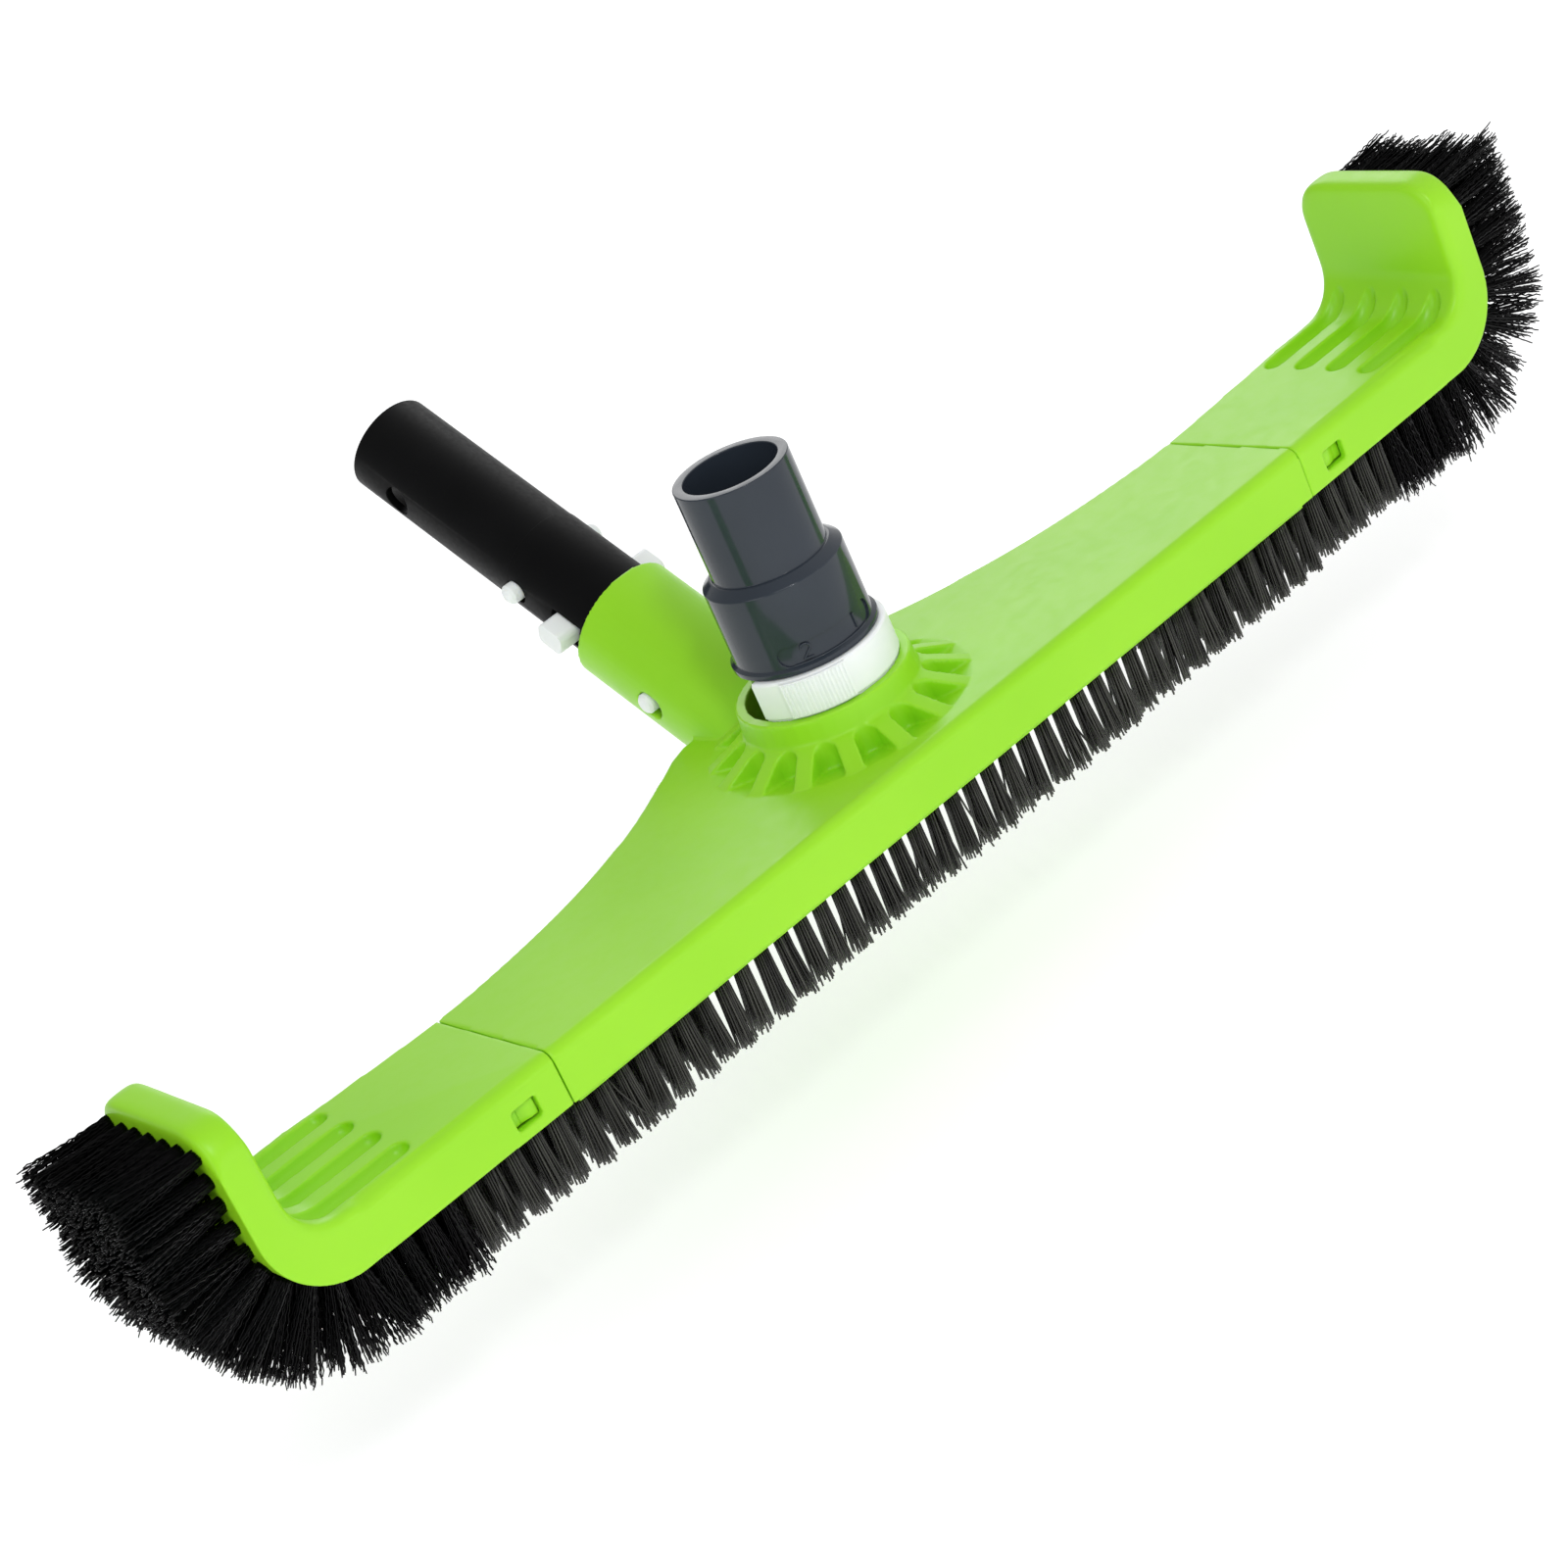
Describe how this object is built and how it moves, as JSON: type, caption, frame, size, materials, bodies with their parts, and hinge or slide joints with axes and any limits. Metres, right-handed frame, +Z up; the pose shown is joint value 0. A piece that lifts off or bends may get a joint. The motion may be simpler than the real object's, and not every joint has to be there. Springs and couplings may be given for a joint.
{
  "type": "pool wall brush",
  "caption": "Curved wall brush for pools: bristled housing with two upturned bristled ends, a stepped hose adapter held by a lock ring, and an angled pole tube with squeeze clips.",
  "frame": {"origin": "on the hose port's axis, where the upper hose spigot stands on its seat", "axes": "+X along the brush to the right-hand end seen from the front, +Y back towards the pole, +Z up through the hose port, bristles pointing down"},
  "size_m": [0.4958, 0.2148, 0.1216],
  "materials": {
    "lime_plastic": "satin moulded plastic",
    "slate_plastic": "glossy moulded plastic",
    "natural_nylon": "translucent natural nylon",
    "black_tube": "satin",
    "seal_rubber": "matt",
    "grey_bristle": "drawn nylon filament",
    "black_bristle": "crimped nylon filament",
    "anchor_wire": "bright drawn wire"
  },
  "bodies": {
    "housing": {"centre_housing": "lime_plastic", "left_end_piece": "lime_plastic", "right_end_piece": "lime_plastic", "lock_ring": "natural_nylon", "pole_tube": "black_tube", "pole_clip_bow": "natural_nylon", "socket_clip_bow": "natural_nylon", "centre_front_tufts": "grey_bristle", "centre_rear_tufts": "grey_bristle", "centre_left_tufts": "grey_bristle", "centre_right_tufts": "grey_bristle", "left_end_grey_tufts": "grey_bristle", "right_end_grey_tufts": "grey_bristle", "left_end_flat_black_tufts": "black_bristle", "left_end_bend_black_tufts": "black_bristle", "left_end_upright_black_tufts": "black_bristle", "right_end_flat_black_tufts": "black_bristle", "right_end_bend_black_tufts": "black_bristle", "right_end_upright_black_tufts": "black_bristle", "centre_tuft_anchors": "anchor_wire", "left_tuft_anchors": "anchor_wire", "right_tuft_anchors": "anchor_wire"},
    "adapter": {"hose_adapter": "slate_plastic", "adapter_seal": "seal_rubber"},
    "pole_clip_left": {"pole_clip_left_leg": "natural_nylon"},
    "pole_clip_right": {"pole_clip_right_leg": "natural_nylon"},
    "socket_clip_left": {"socket_clip_left_leg": "natural_nylon"},
    "socket_clip_right": {"socket_clip_right_leg": "natural_nylon"},
    "left_latch": {"left_latch_tongue": "lime_plastic"},
    "right_latch": {"right_latch_tongue": "lime_plastic"}
  },
  "joints": [
    {"name": "adapter_turn", "type": "hinge", "parent": "housing", "child": "adapter", "pos_m": [0, 0, -0.0232], "axis": [0, 0, 1], "range_deg": [0, 48]},
    {"name": "pole_clip_right_squeeze", "type": "hinge", "parent": "housing", "child": "pole_clip_right", "pos_m": [0.01045, 0.12842, 0.00115], "axis": [0, 0.5299, -0.848], "range_deg": [0, 8.5]},
    {"name": "pole_clip_left_squeeze", "type": "hinge", "parent": "housing", "child": "pole_clip_left", "pos_m": [-0.01045, 0.12842, 0.00115], "axis": [0, -0.5299, 0.848], "range_deg": [0, 8.5]},
    {"name": "socket_clip_right_squeeze", "type": "hinge", "parent": "housing", "child": "socket_clip_right", "pos_m": [0.01045, 0.07584, -0.0317], "axis": [0, 0.5299, -0.848], "range_deg": [0, 14.5]},
    {"name": "socket_clip_left_squeeze", "type": "hinge", "parent": "housing", "child": "socket_clip_left", "pos_m": [-0.01045, 0.07584, -0.0317], "axis": [0, -0.5299, 0.848], "range_deg": [0, 14.5]},
    {"name": "right_latch_press", "type": "hinge", "parent": "housing", "child": "right_latch", "pos_m": [0.14075, -0.04035, -0.0572], "axis": [0, 0, 1], "range_deg": [0, 9.5]},
    {"name": "left_latch_press", "type": "hinge", "parent": "housing", "child": "left_latch", "pos_m": [-0.14075, -0.04035, -0.0572], "axis": [0, 0, -1], "range_deg": [0, 9.5]}
  ],
  "couplings": [
    {"joint": "pole_clip_left_squeeze", "follows": "pole_clip_right_squeeze", "ratio": 1},
    {"joint": "socket_clip_left_squeeze", "follows": "socket_clip_right_squeeze", "ratio": 1}
  ]
}
